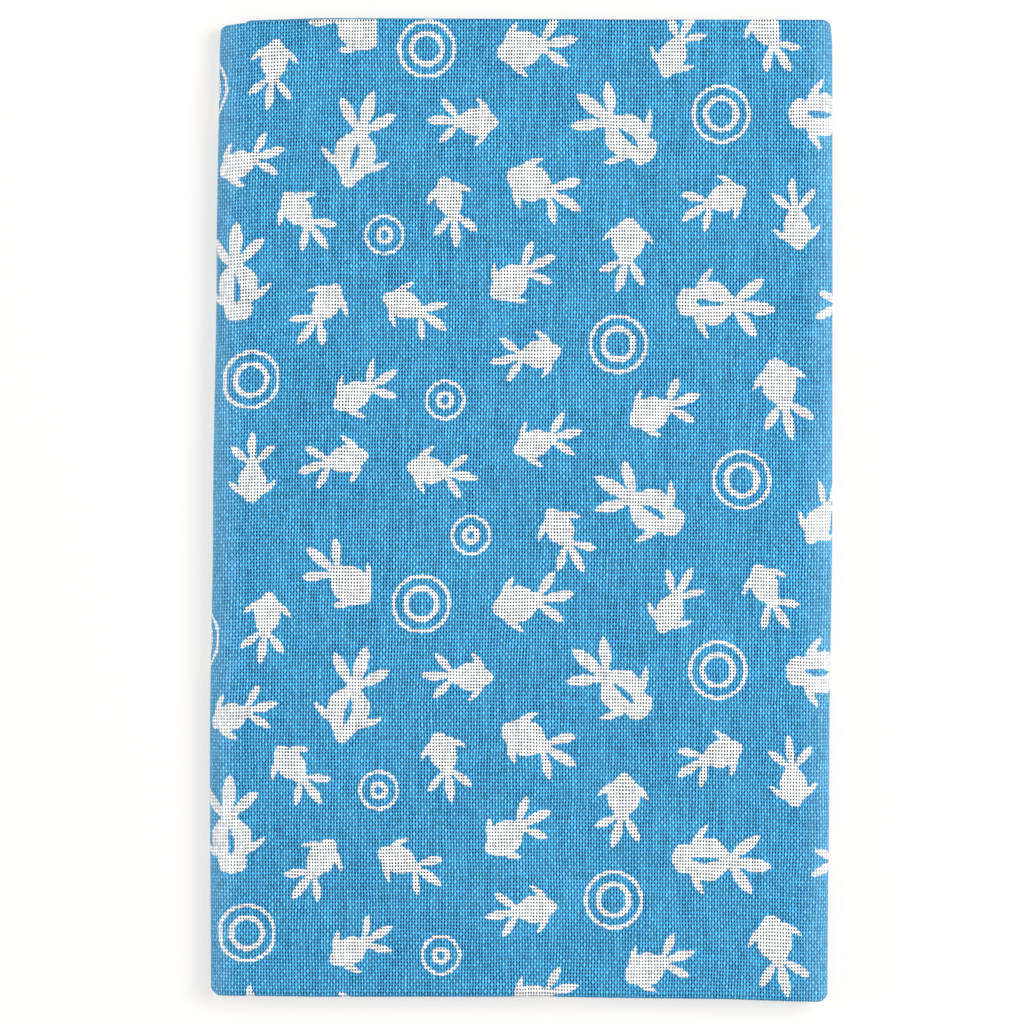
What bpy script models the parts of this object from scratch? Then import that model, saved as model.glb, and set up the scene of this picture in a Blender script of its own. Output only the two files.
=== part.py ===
"""A printed cotton hand towel of the tenugui kind, folded flat and lying on its back.

The towel is one length of plain-woven cloth, built as one closed solid with its real folds.
First it is folded along its length into a strip of five plies, with both cut ends tucked inside.
Then the strip is folded across in thirds: the left wing goes under, and the right wing lies inside.
So fifteen plies of cloth lie on each other, each a little apart from the next.

X runs to the right across the face, Y up the face, and Z out of it. Lengths are in millimetres.
"""
import math

import bpy

METRES_PER_MM = 0.001
NODE_NAME = "towel_cloth"

# The cloth laid out flat
CLOTH_WIDTH = 330.0
CLOTH_LENGTH = 900.0
CLOTH_THICKNESS = 0.40

# The bundle, seen from above
BUNDLE_WIDTH = 114.7
BUNDLE_LENGTH = 181.0

# From the middle of one ply to the next, and from one stack of five plies to the next
PLY_PITCH = 0.55
STACK_PITCH = 2.85

# How far the inner of the two bottom folds stops short of the outer one
INNER_FOLD_INSET = 1.0

# The upper cut end's share of the cloth that the three whole plies leave over
UPPER_END_SHARE = 0.5

# The left wing's share of the cloth that the face and the two bends leave over
LEFT_WING_SHARE = 0.504

# Each wing is folded a little askew, so its edges climb on the way to its free selvage
LEFT_WING_SKEW = math.radians(-0.15)
RIGHT_WING_SKEW = math.radians(0.25)

# Strips of the mesh along each stretch of cloth
FACE_COLUMNS = 8
WING_COLUMNS = 4
LEFT_BEND_COLUMNS = 8
RIGHT_BEND_COLUMNS = 8
PLY_ROWS = 6
WIDE_TURN_ROWS = 8
CLOSE_TURN_ROWS = 4

# The last column or row of a free edge has its own place, this far past the shared ones
FREE_EDGE_MARGIN = 6.0

# How far each side of the bundle strays to the right of a straight line
SIDE_DRIFT = (
    # height up the face, left side, right side
    (-90.5, -0.25, -0.80),
    (-45.0, -0.45, -0.45),
    (0.0, 0.15, 0.10),
    (45.0, 0.80, 0.15),
    (90.5, 1.40, 0.10),
)

# How far each end of the bundle strays up from a straight line
END_DRIFT = (
    # place across the face, bottom end, top end
    (-57.3, 0.60, -0.95),
    (-49.0, 0.55, -0.25),
    (-36.0, 0.40, 0.10),
    (0.0, 0.40, 0.10),
    (32.0, 0.05, 0.05),
    (57.3, -0.55, 0.00),
)

# Radius of each corner of the bundle, seen from above, by the signs of its X and Y
CORNER_RADIUS = {
    (-1, 1): 2.4,
    (1, 1): 1.9,
    (-1, -1): 1.6,
    (1, -1): 1.5,
}

# The bundle gets thinner, as a share of its height, toward its rim and at its upper left corner
RIM_THINNING = 0.05
RIM_THINNING_REACH = 16.0
CORNER_THINNING = 0.14
CORNER_THINNING_REACH = 17.0

# The face is not quite level: long low swells, as a share of the height
SWELL = 0.016
SWELL_LENGTH_ACROSS = 96.0
SWELL_LENGTH_ALONG = 131.0

CLOTH_COLOUR = (0.075, 0.330, 0.600, 1.0)
CLOTH_ROUGHNESS = 0.9

HALF_THICKNESS = CLOTH_THICKNESS / 2
STACK_HALF_HEIGHT = 2 * PLY_PITCH + HALF_THICKNESS

# Levels of the three stacks, from the ground up
LEFT_WING_LEVEL = STACK_HALF_HEIGHT
RIGHT_WING_LEVEL = LEFT_WING_LEVEL + STACK_PITCH
FACE_LEVEL = RIGHT_WING_LEVEL + STACK_PITCH

# The bends of the strip: the left one goes round the right wing, and the right one is close
LEFT_BEND_RADIUS = STACK_PITCH
RIGHT_BEND_RADIUS = STACK_PITCH / 2
LEFT_BEND_AT = -BUNDLE_WIDTH / 2 + STACK_HALF_HEIGHT + LEFT_BEND_RADIUS
RIGHT_BEND_AT = BUNDLE_WIDTH / 2 - STACK_HALF_HEIGHT - RIGHT_BEND_RADIUS

# The turns of the plies: a wide one at the bottom, close ones at the top and inside
WIDE_TURN_RADIUS = 2 * PLY_PITCH
CLOSE_TURN_RADIUS = PLY_PITCH / 2
TOP_TURN_AT = BUNDLE_LENGTH / 2 - HALF_THICKNESS - CLOSE_TURN_RADIUS
BOTTOM_TURN_AT = -BUNDLE_LENGTH / 2 + HALF_THICKNESS + WIDE_TURN_RADIUS
INNER_TURN_AT = BOTTOM_TURN_AT + INNER_FOLD_INSET

# Directions of the printed side, as height and level, on plies that run down and up
PRINT_UP = (0.0, 1.0)
PRINT_DOWN = (0.0, -1.0)


def clear_scene():
    for thing in list(bpy.data.objects):
        bpy.data.objects.remove(thing, do_unlink=True)


def evenly(start, end, steps):
    """Stations from start to end, both included."""
    return [start + (end - start) * step / steps for step in range(steps + 1)]


def eased(share):
    """Zero to one, level at both ends."""
    share = min(max(share, 0.0), 1.0)
    return share * share * (3 - 2 * share)


def between_rows(table, place, column):
    """One column of a drift table, eased from row to row."""
    if place <= table[0][0]:
        return table[0][column]
    for low, high in zip(table, table[1:]):
        if place <= high[0]:
            share = eased((place - low[0]) / (high[0] - low[0]))
            return low[column] + (high[column] - low[column]) * share
    return table[-1][column]


def ply(level, heights, printed):
    """Rows of one flat ply. A row is height, level, and the printed side's direction."""
    return [(height, level * PLY_PITCH, *printed) for height in heights]


def turn(height, level, radius, start, end, steps, print_outside=True):
    """Rows round a turn, without its first and last, which belong to the plies it joins."""
    side = 1.0 if print_outside else -1.0
    rows = []
    for angle in evenly(math.radians(start), math.radians(end), steps)[1:-1]:
        along = math.cos(angle)
        out = math.sin(angle)
        rows.append((height + radius * along, level * PLY_PITCH + radius * out, side * along, side * out))
    return rows


def strip_rows():
    """Rows of the cloth from cut end to cut end, as it lies in the strip of five plies."""
    whole_plies = 2 * (TOP_TURN_AT - BOTTOM_TURN_AT) + (TOP_TURN_AT - INNER_TURN_AT)
    turns = math.pi * (WIDE_TURN_RADIUS + 3 * CLOSE_TURN_RADIUS)
    left_over = CLOTH_LENGTH - whole_plies - turns
    upper_end = INNER_TURN_AT + left_over * UPPER_END_SHARE
    lower_end = TOP_TURN_AT - left_over * (1 - UPPER_END_SHARE)

    shared = evenly(BOTTOM_TURN_AT + FREE_EDGE_MARGIN, TOP_TURN_AT - FREE_EDGE_MARGIN, PLY_ROWS)
    down = shared[::-1]

    rows = ply(0, [upper_end, *down, INNER_TURN_AT], PRINT_UP)
    rows += turn(INNER_TURN_AT, 0.5, CLOSE_TURN_RADIUS, -90, -270, CLOSE_TURN_ROWS, print_outside=False)
    rows += ply(1, [INNER_TURN_AT, *shared, TOP_TURN_AT], PRINT_DOWN)
    rows += turn(TOP_TURN_AT, 1.5, CLOSE_TURN_RADIUS, -90, 90, CLOSE_TURN_ROWS)
    rows += ply(2, [TOP_TURN_AT, *down, BOTTOM_TURN_AT], PRINT_UP)
    rows += turn(BOTTOM_TURN_AT, 0, WIDE_TURN_RADIUS, 90, 270, WIDE_TURN_ROWS)
    rows += ply(-2, [BOTTOM_TURN_AT, *shared, TOP_TURN_AT], PRINT_DOWN)
    rows += turn(TOP_TURN_AT, -1.5, CLOSE_TURN_RADIUS, -90, 90, CLOSE_TURN_ROWS)
    rows += ply(-1, [TOP_TURN_AT, *down, lower_end], PRINT_UP)
    return rows


def strip_columns(level):
    """Places across the strip from selvage to selvage, measured along its middle from the face's centre.

    A ply on the outside of a bend has less cloth left past it, so its selvage ends sooner.
    """
    left_bend_end = LEFT_BEND_AT - math.pi * LEFT_BEND_RADIUS
    right_bend_end = RIGHT_BEND_AT + math.pi * RIGHT_BEND_RADIUS
    left_over = CLOTH_WIDTH - (right_bend_end - left_bend_end)
    left_tip = left_bend_end - left_over * LEFT_WING_SHARE
    right_tip = right_bend_end + left_over * (1 - LEFT_WING_SHARE)

    places = [left_tip + math.pi * level]
    places += evenly(left_tip + FREE_EDGE_MARGIN, left_bend_end, WING_COLUMNS)
    places += evenly(left_bend_end, LEFT_BEND_AT, LEFT_BEND_COLUMNS)[1:-1]
    places += evenly(LEFT_BEND_AT, RIGHT_BEND_AT, FACE_COLUMNS)
    places += evenly(RIGHT_BEND_AT, right_bend_end, RIGHT_BEND_COLUMNS)[1:-1]
    places += evenly(right_bend_end, right_tip - FREE_EDGE_MARGIN, WING_COLUMNS)
    places += [right_tip - math.pi * level]
    return places


def bend(past, radius):
    """The strip's middle at a distance past a bend line.

    It is given as how far out and down it lies, its turn so far, and the length of wing behind it.
    """
    angle = min(past / radius, math.pi)
    wing = past - angle * radius
    return radius * math.sin(angle) - wing, radius * (1 - math.cos(angle)), angle, wing


def folded_point(place, height, level):
    """A point of the bundle, from its place across the strip, its height, and its level in the strip."""
    if place < LEFT_BEND_AT:
        out, down, angle, wing = bend(LEFT_BEND_AT - place, LEFT_BEND_RADIUS)
        across = LEFT_BEND_AT - out - level * math.sin(angle)
        height += wing * math.tan(LEFT_WING_SKEW)
    elif place > RIGHT_BEND_AT:
        out, down, angle, wing = bend(place - RIGHT_BEND_AT, RIGHT_BEND_RADIUS)
        across = RIGHT_BEND_AT + out + level * math.sin(angle)
        height += wing * math.tan(RIGHT_WING_SKEW)
    else:
        return place, height, FACE_LEVEL + level
    return across, height, FACE_LEVEL - down + level * math.cos(angle)


def rounded_corner(across, height):
    """The nearest corner drawn in to its radius, seen from above."""
    side = 1 if across > 0 else -1
    end = 1 if height > 0 else -1
    radius = CORNER_RADIUS[side, end]
    inner_across = BUNDLE_WIDTH / 2 - radius
    inner_height = BUNDLE_LENGTH / 2 - radius
    past_side = (abs(across) - inner_across) / radius
    past_end = (abs(height) - inner_height) / radius
    if past_side <= 0 or past_end <= 0:
        return across, height
    drawn_side = past_side * math.sqrt(max(1 - past_end ** 2 / 2, 0.0))
    drawn_end = past_end * math.sqrt(max(1 - past_side ** 2 / 2, 0.0))
    return side * (inner_across + radius * drawn_side), end * (inner_height + radius * drawn_end)


def thickness_share(across, height):
    """The bundle's thickness at a place, as a share of its full height."""
    to_rim = min(BUNDLE_WIDTH / 2 - abs(across), BUNDLE_LENGTH / 2 - abs(height))
    to_corner = math.hypot(across + BUNDLE_WIDTH / 2, height - BUNDLE_LENGTH / 2)
    swell_across = math.sin(2 * math.pi * across / SWELL_LENGTH_ACROSS + 0.7)
    swell_along = math.cos(2 * math.pi * height / SWELL_LENGTH_ALONG + 0.4)
    share = 1 - RIM_THINNING * (1 - eased(to_rim / RIM_THINNING_REACH))
    share -= CORNER_THINNING * (1 - eased(to_corner / CORNER_THINNING_REACH))
    return share + SWELL * swell_across * swell_along


def settled(point):
    """A point of the neat bundle, moved to where the real, uneven one lies. The underside stays flat."""
    across, height, level = point
    level *= thickness_share(across, height)
    across, height = rounded_corner(across, height)
    rightness = across / BUNDLE_WIDTH + 0.5
    upness = height / BUNDLE_LENGTH + 0.5
    left = between_rows(SIDE_DRIFT, height, 1)
    right = between_rows(SIDE_DRIFT, height, 2)
    bottom = between_rows(END_DRIFT, across, 1)
    top = between_rows(END_DRIFT, across, 2)
    return (
        across + left + (right - left) * rightness,
        height + bottom + (top - bottom) * upness,
        level,
    )


def cloth_skin(offset):
    """Rows of points on the cloth's skin, at an offset toward its printed side."""
    skin = []
    for height, level, out_height, out_level in strip_rows():
        skin_height = height + offset * out_height
        skin_level = level + offset * out_level
        places = strip_columns(level)
        skin.append([settled(folded_point(place, skin_height, skin_level)) for place in places])
    return skin


def closed_faces(rows, columns):
    """Faces of the printed skin, the reverse skin, and the four narrow edges that join them."""
    def printed(row, column):
        return row * columns + column

    def reverse(row, column):
        return rows * columns + row * columns + column

    last_row = rows - 1
    last_column = columns - 1
    faces = []
    for row in range(last_row):
        for column in range(last_column):
            corners = [(row, column), (row + 1, column), (row + 1, column + 1), (row, column + 1)]
            faces.append([printed(*corner) for corner in corners])
            faces.append([reverse(*corner) for corner in reversed(corners)])

    edges = [((row + 1, 0), (row, 0)) for row in range(last_row)]
    edges += [((row, last_column), (row + 1, last_column)) for row in range(last_row)]
    edges += [((0, column), (0, column + 1)) for column in range(last_column)]
    edges += [((last_row, column + 1), (last_row, column)) for column in range(last_column)]
    for start, end in edges:
        faces.append([printed(*start), printed(*end), reverse(*end), reverse(*start)])
    return faces


def centred(points):
    """The points moved so that the bundle's box is centred on the origin, with the underside at zero."""
    middles = []
    for axis in (0, 1):
        values = [point[axis] for point in points]
        middles.append((min(values) + max(values)) / 2)
    return [(point[0] - middles[0], point[1] - middles[1], point[2]) for point in points]


def make_cloth_material():
    material = bpy.data.materials.new("printed_cotton")
    material.use_nodes = True
    shader = material.node_tree.nodes["Principled BSDF"]
    shader.inputs["Base Color"].default_value = CLOTH_COLOUR
    shader.inputs["Roughness"].default_value = CLOTH_ROUGHNESS
    shader.inputs["Metallic"].default_value = 0.0
    material.diffuse_color = CLOTH_COLOUR
    return material


def make_towel():
    printed = cloth_skin(HALF_THICKNESS)
    reverse = cloth_skin(-HALF_THICKNESS)
    points = centred([point for skin in (printed, reverse) for row in skin for point in row])
    faces = closed_faces(len(printed), len(printed[0]))

    mesh = bpy.data.meshes.new(NODE_NAME)
    mesh.from_pydata([[value * METRES_PER_MM for value in point] for point in points], [], faces)
    mesh.shade_smooth()
    mesh.set_sharp_from_angle(angle=math.radians(50))
    mesh.materials.append(make_cloth_material())
    towel = bpy.data.objects.new(NODE_NAME, mesh)
    bpy.context.scene.collection.objects.link(towel)
    return towel


def main():
    clear_scene()
    make_towel()


main()
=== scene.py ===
"""How the folded cotton towel looks: one sheet of printed plain weave on the folds of its solid.

The sheet follows the same folds as the solid it stands for, on a finer mesh. Its print is a repeat of
white fish and water rings on blue, cut into the mesh as outlines, and its weave is a procedural material.

X runs to the right across the face, Y up the face, and Z out of it. Sizes are in millimetres until
a mesh is made from them.
"""
import math
from types import SimpleNamespace

import bpy
import numpy as np
from mathutils.geometry import delaunay_2d_cdt
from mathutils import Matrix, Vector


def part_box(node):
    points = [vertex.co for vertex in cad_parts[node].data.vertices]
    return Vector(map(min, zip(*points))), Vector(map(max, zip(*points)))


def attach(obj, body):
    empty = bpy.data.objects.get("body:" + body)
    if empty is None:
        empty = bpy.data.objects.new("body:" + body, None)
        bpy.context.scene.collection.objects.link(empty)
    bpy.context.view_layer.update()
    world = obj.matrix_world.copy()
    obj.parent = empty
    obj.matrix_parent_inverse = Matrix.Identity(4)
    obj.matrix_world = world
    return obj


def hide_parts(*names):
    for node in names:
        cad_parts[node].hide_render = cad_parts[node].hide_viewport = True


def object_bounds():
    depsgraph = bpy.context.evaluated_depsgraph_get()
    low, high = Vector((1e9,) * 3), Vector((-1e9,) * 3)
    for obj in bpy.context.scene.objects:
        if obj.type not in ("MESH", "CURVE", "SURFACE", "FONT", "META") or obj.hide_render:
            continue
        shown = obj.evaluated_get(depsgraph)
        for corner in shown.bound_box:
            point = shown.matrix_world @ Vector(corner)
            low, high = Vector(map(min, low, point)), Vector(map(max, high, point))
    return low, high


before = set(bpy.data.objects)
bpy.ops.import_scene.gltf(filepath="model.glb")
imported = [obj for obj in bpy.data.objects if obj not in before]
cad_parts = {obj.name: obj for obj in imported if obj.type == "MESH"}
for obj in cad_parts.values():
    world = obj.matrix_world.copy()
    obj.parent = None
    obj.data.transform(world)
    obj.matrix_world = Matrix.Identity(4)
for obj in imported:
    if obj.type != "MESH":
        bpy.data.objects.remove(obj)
CAD_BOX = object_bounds()

MM = 0.001
CLOTH_NODE = "towel_cloth"

# The cloth laid out flat
CLOTH_WIDTH = 330.0
CLOTH_LENGTH = 900.0
CLOTH_THICKNESS = 0.40

# The folded bundle, as in its solid
BUNDLE_WIDTH = 114.7
BUNDLE_LENGTH = 181.0
PLY_PITCH = 0.55
STACK_PITCH = 2.85
INNER_FOLD_INSET = 1.0
UPPER_END_SHARE = 0.5
LEFT_WING_SHARE = 0.504
LEFT_WING_SKEW = math.radians(-0.15)
RIGHT_WING_SKEW = math.radians(0.25)

# Spacing of the mesh: closer within the rim, and in steps round each bend and turn
RIM_ZONE = 16.0
RIM_STEP = 4.0
MIDDLE_STEP = 9.0
BEND_COLUMNS = 14
WIDE_TURN_ROWS = 16
CLOSE_TURN_ROWS = 6
FREE_EDGE_MARGIN = 6.0

# How far each side of the bundle strays to the right of a straight line
SIDE_DRIFT = np.array((
    # height up the face, left side, right side
    (-90.5, -0.25, -0.80),
    (-45.0, -0.45, -0.45),
    (0.0, 0.15, 0.10),
    (45.0, 0.80, 0.15),
    (90.5, 1.40, 0.10),
))

# How far each end of the bundle strays up from a straight line
END_DRIFT = np.array((
    # place across the face, bottom end, top end
    (-57.3, 0.60, -0.95),
    (-49.0, 0.55, -0.25),
    (-36.0, 0.40, 0.10),
    (0.0, 0.40, 0.10),
    (32.0, 0.05, 0.05),
    (57.3, -0.55, 0.00),
))

# Radius of each corner of the bundle, seen from above, by the signs of its X and Y
CORNER_RADIUS = {
    (-1, 1): 1.5,
    (1, 1): 1.9,
    (-1, -1): 1.6,
    (1, -1): 1.5,
}

# The bundle gets thinner, as a share of its height, toward its rim and at its upper left corner
RIM_THINNING = 0.05
RIM_THINNING_REACH = 16.0
CORNER_THINNING = 0.14
CORNER_THINNING_REACH = 17.0
SWELL = 0.016
SWELL_LENGTH_ACROSS = 96.0
SWELL_LENGTH_ALONG = 131.0
SWELL_START_ACROSS = 0.7
SWELL_START_ALONG = 0.4

HALF_THICKNESS = CLOTH_THICKNESS / 2
STACK_HALF_HEIGHT = 2 * PLY_PITCH + HALF_THICKNESS
FACE_LEVEL = STACK_HALF_HEIGHT + 2 * STACK_PITCH
FRONT_PLY_LEVEL = 2 * PLY_PITCH

LEFT_BEND_RADIUS = STACK_PITCH
RIGHT_BEND_RADIUS = STACK_PITCH / 2
LEFT_BEND_AT = -BUNDLE_WIDTH / 2 + STACK_HALF_HEIGHT + LEFT_BEND_RADIUS
RIGHT_BEND_AT = BUNDLE_WIDTH / 2 - STACK_HALF_HEIGHT - RIGHT_BEND_RADIUS
LEFT_BEND_END = LEFT_BEND_AT - math.pi * LEFT_BEND_RADIUS
RIGHT_BEND_END = RIGHT_BEND_AT + math.pi * RIGHT_BEND_RADIUS
WINGS = CLOTH_WIDTH - (RIGHT_BEND_END - LEFT_BEND_END)
LEFT_SELVAGE = LEFT_BEND_END - WINGS * LEFT_WING_SHARE
RIGHT_SELVAGE = RIGHT_BEND_END + WINGS * (1 - LEFT_WING_SHARE)

WIDE_TURN_RADIUS = 2 * PLY_PITCH
CLOSE_TURN_RADIUS = PLY_PITCH / 2
TOP_TURN_AT = BUNDLE_LENGTH / 2 - HALF_THICKNESS - CLOSE_TURN_RADIUS
BOTTOM_TURN_AT = -BUNDLE_LENGTH / 2 + HALF_THICKNESS + WIDE_TURN_RADIUS
INNER_TURN_AT = BOTTOM_TURN_AT + INNER_FOLD_INSET

# The print's repeat, and how far it is drawn past the folds of the front ply
REPEAT_ACROSS = 128.0
REPEAT_ALONG = 102.7
PRINT_PAST_TOP = 10.0
PRINT_PAST_BOTTOM = 12.0
PRINT_PAST_RIGHT = 14.0
PLAIN_SELVAGE = 10.0

# The sheet's map is laid out in pixels of an image of this size. Its upper part holds the front ply
# with the turns at both its ends, and strips below that hold the rest, which is hardly seen. Across the
# cloth, the stretch that faces the viewer gets most of the upper part's pixels
MAP_NAME = "OFBake"
MAP_SIZE = 1024
MAP_LEFT = 6
MAP_RIGHT = 1018
FRONT_LEFT_BEND_END = LEFT_BEND_END - FRONT_PLY_LEVEL * math.pi
FRONT_RIGHT_BEND_END = RIGHT_BEND_END + FRONT_PLY_LEVEL * math.pi
NEAR_WING = 16.0
FRONT_MAP_ACROSS = np.array((
    # place across the cloth, pixels from the map's left edge
    (LEFT_SELVAGE, MAP_LEFT),
    (FRONT_LEFT_BEND_END, 232),
    (FRONT_RIGHT_BEND_END, 953),
    (FRONT_RIGHT_BEND_END + NEAR_WING, 992),
    (RIGHT_SELVAGE, MAP_RIGHT),
))
FRONT_MAP_HEIGHTS = (128, 1018)
PRINTED_MAP_HEIGHTS = (81, 121)
REVERSE_MAP_HEIGHTS = (38, 76)
RIM_MAP_HEIGHTS = ((28, 33), (20, 25), (12, 17), (4, 9))
MAP_TOLERANCE = 1e-3

# How far to both sides of its outlines the mesh carries the print's depth
PRINT_REACH = 0.36
POINTS_MERGE_WITHIN = 1e-4
SHARP_ANGLE = math.radians(60)

# One repeat of the print. Headings and swings of the tail are in degrees, anticlockwise
MOTIFS = (
    # kind, place across, height, heading, swing
    ("big_carp", -32.0, 88.8, 320, 0),
    ("ripple", -18.5, 85.0, 0, 0),
    ("big_carp", -0.3, 85.0, 191, 0),
    ("fish", 27.5, 84.0, 247, -8),
    ("fish", 45.0, 88.5, 115, 12),
    ("ripple", -61.1, 78.7, 0, 0),
    ("fish", -47.0, 82.7, 84, -3),
    ("fish", -53.2, 64.2, 197, -1),
    ("lean_koi", -31.5, 66.0, 257, -4),
    ("fish", -9.5, 71.5, 358, 0),
    ("koi", 18.5, 69.3, 319, 2),
    ("ripple", 36.5, 73.0, 0, 0),
    ("koi", 56.0, 73.0, 178, 0),
    ("fish", -42.0, 55.0, 130, -4),
    ("ripplet", -26.0, 50.5, 0, 0),
    ("fish", -14.0, 57.0, 107, -15),
    ("big_carp", 1.5, 60.0, 156, -8),
    ("fish", 37.0, 57.5, 20, 15),
    ("fish", 50.6, 52.5, 276, 0),
    ("koi", -53.5, 41.9, 275, -7),
    ("carp", 19.2, 49.1, 86, -16),
    ("carp", -2.3, 42.0, 220, -18),
    ("koi", 35.2, 38.0, 177, -4),
    ("fish", 62.1, 39.3, 25, 0),
    ("fish", -36.8, 37.6, 58, -8),
    ("fish", -22.0, 37.5, 157, -15),
    ("fish", 2.5, 28.5, 9, 2),
    ("ripple", 17.5, 30.4, 0, 0),
    ("big_carp", 47.5, 23.0, 104, 0),
    ("ripple", -50.5, 24.0, 0, 0),
    ("fish", -31.1, 20.9, 209, 4),
    ("ripplet", -14.5, 20.0, 0, 0),
    ("carp", 24.0, 17.8, 204, -5),
    ("fish", 2.5, 12.0, 200, -8),
    ("fish", -50.0, 5.5, 270, 0),
    ("fish", -33.0, 9.0, 12, 6),
    ("fish", -17.0, 7.0, 170, 0),
    ("ripplet", -9.5, -5.0, 0, 0),
    ("fish", 7.0, -4.0, 120, 0),
    ("koi", 23.5, 0.0, 330, 0),
    ("ripple", 40.5, 5.5, 0, 0),
    ("fish", 55.0, -2.0, 240, 0),
)

# Half the width of a fish's body from its snout back, for two sorts of small fish and two of large ones.
# Each row is a place along the fish from its widest point, and the half width there
FISH_BODY = (
    (4.5, 0.0),
    (4.2, 0.75),
    (3.3, 1.45),
    (2.4, 1.95),
    (1.2, 2.35),
    (0.0, 2.50),
    (-1.3, 2.15),
    (-2.4, 1.35),
    (-3.3, 0.95),
    (-4.4, 0.0),
)
CARP_BODY = (
    (4.5, 0.0),
    (4.2, 0.80),
    (3.3, 1.65),
    (2.4, 2.20),
    (1.2, 2.65),
    (0.0, 2.85),
    (-1.3, 2.45),
    (-2.4, 1.50),
    (-3.3, 1.00),
    (-4.4, 0.0),
)
KOI_BODY = (
    (6.9, 0.0),
    (6.6, 1.35),
    (5.9, 2.40),
    (5.0, 2.70),
    (4.0, 2.60),
    (3.0, 2.85),
    (1.6, 3.65),
    (0.0, 4.00),
    (-1.5, 3.55),
    (-2.7, 2.35),
    (-3.8, 1.20),
    (-5.6, 0.0),
)
LEAN_KOI_BODY = (
    (6.8, 0.0),
    (6.5, 0.95),
    (5.3, 1.60),
    (4.2, 2.40),
    (3.0, 3.05),
    (1.6, 3.65),
    (0.0, 3.90),
    (-1.5, 3.45),
    (-2.7, 2.25),
    (-3.8, 1.20),
    (-5.6, 0.0),
)

# Leaves of a fish: two fins and three lobes of the tail. A large fish also has a slit in its back.
# Root along, root beside, heading, length, width, curl, share of its length where it is fullest
FISH_LEAVES = (
    (3.0, 0.6, 113, 4.9, 1.15, 24, 0.50),
    (3.0, -0.6, -113, 4.9, 1.15, -24, 0.50),
    (-2.4, 0.0, 180, 6.6, 1.72, 0, 0.60),
    (-2.6, 0.2, 134, 5.5, 1.52, 0, 0.60),
    (-2.6, -0.2, -134, 5.5, 1.52, 0, 0.60),
)
KOI_LEAVES = (
    (3.3, 1.6, 105, 5.8, 1.35, 26, 0.45),
    (3.3, -1.6, -105, 5.8, 1.35, -26, 0.45),
    (-3.2, 0.0, 180, 8.6, 2.55, 0, 0.56),
    (-3.4, 0.3, 136, 7.4, 2.15, 0, 0.58),
    (-3.4, -0.3, -136, 7.4, 2.15, 0, 0.58),
)
KOI_SLIT = (-2.1, -0.2, 12, 5.8, 1.25, -22, 0.60)

# Water rings: radius and line width of each circle, from the outer one in
RINGS = {
    "ripple": ((5.15, 0.70), (2.88, 0.98)),
    "ripplet": ((3.45, 0.62), (1.25, 0.95)),
}
CIRCLE_POINTS = 44
LEAF_POINTS = 10
LEAF_BLUNTNESS = 0.70
SWING_REACH = 8.0
CARP_SCALE = 1.06
BIG_CARP_SCALE = 1.16
FISHES = {
    # kind: body, leaves, slits, scale
    "fish": (FISH_BODY, FISH_LEAVES, (), 1.0),
    "carp": (CARP_BODY, FISH_LEAVES, (), CARP_SCALE),
    "big_carp": (CARP_BODY, FISH_LEAVES, (), BIG_CARP_SCALE),
    "koi": (KOI_BODY, KOI_LEAVES, (KOI_SLIT,), 1.0),
    "lean_koi": (LEAN_KOI_BODY, KOI_LEAVES, (KOI_SLIT,), 1.0),
}

# The photograph's scale: the width that its frame spans at the height of the face, and where its
# middle lies from the middle of the bundle
FRAME_WIDTH = 189.1
FRAME_MIDDLE = (-1.67, -0.33)
CAMERA_DISTANCE = 1500.0

# Warp threads run along the cloth's length, and weft threads across it. A width and its slub, which is
# how much the width varies, are shares of the pitch
WARP_PITCH = 0.533
WEFT_PITCH = 0.618
WARP_WIDTH = 0.57
WEFT_WIDTH = 0.54
WARP_SLUB = 0.60
WEFT_SLUB = 0.50
SLUB_LENGTH = 7.0
SLUB_THREAD_STEP = 3.7
WANDER = 0.9
WANDER_ALONG_THREAD = 14.0
WANDER_BESIDE_THREAD = 9.0

# Height of a thread: what it has anywhere, what its round section adds, and what its rise over others adds
THREAD_BASE = 0.4
THREAD_ROUND = 0.6
THREAD_RISE = 0.35
THREAD_EDGE = (-0.05, 0.08)
THREAD_CROSSING = (-0.15, 0.15)
# Heights over which a thread's colour goes from painted shade on its low parts to lit on its top
THREAD_SHADE_TO_LIT = (0.45, 1.15)
# How narrow and how strong the painted highlight along a warp's crown is
RIDGE_HIGHLIGHT_SHARPNESS = 3.0
RIDGE_HIGHLIGHT_SHARE = 0.85

# The print's edge, in millimetres: how soft it is, and what shares of a thread's step and of chance move it
PRINT_EDGE = (-0.07, 0.07)
PRINT_STEP = 0.45
PRINT_CHANCE = 0.05

# How much the tone of the cloth varies from patch to patch, thread to thread and crossing to crossing
PATCH_LENGTH = 24.0
PATCH_TONE = 0.10
THREAD_TONE = 0.20
CROSSING_TONE = 0.34

# How far from the cloth's middle the painted highlight along the side folds begins, is full, fades again and
# ends
FOLD_HIGHLIGHT_FROM = 50.5
FOLD_HIGHLIGHT_FULL = 56.5
FOLD_HIGHLIGHT_PAST = 60.0
FOLD_HIGHLIGHT_END = 66.0
FOLD_HIGHLIGHT_GAP_CLOSING = 0.5
FOLD_HIGHLIGHT_PALENESS = 0.18

# The floor reaches this far to each side, in metres
FLOOR_REACH = 3.0


def evenly(start, end, steps):
    return list(np.linspace(start, end, steps + 1))


def closer_at_rim(start, end):
    """Stations from start to end, closer together where the bundle thins toward its rim."""
    way = math.copysign(1.0, end - start)
    inner_start = start + way * RIM_ZONE
    inner_end = end - way * RIM_ZONE
    rim_steps = round(RIM_ZONE / RIM_STEP)
    middle_steps = max(round(abs(inner_end - inner_start) / MIDDLE_STEP), 1)
    stations = evenly(start, inner_start, rim_steps)
    stations += evenly(inner_start, inner_end, middle_steps)[1:]
    stations += evenly(inner_end, end, rim_steps)[1:]
    return stations


def eased(share):
    """Zero to one, level at both ends."""
    share = np.clip(share, 0.0, 1.0)
    return share * share * (3 - 2 * share)


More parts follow.
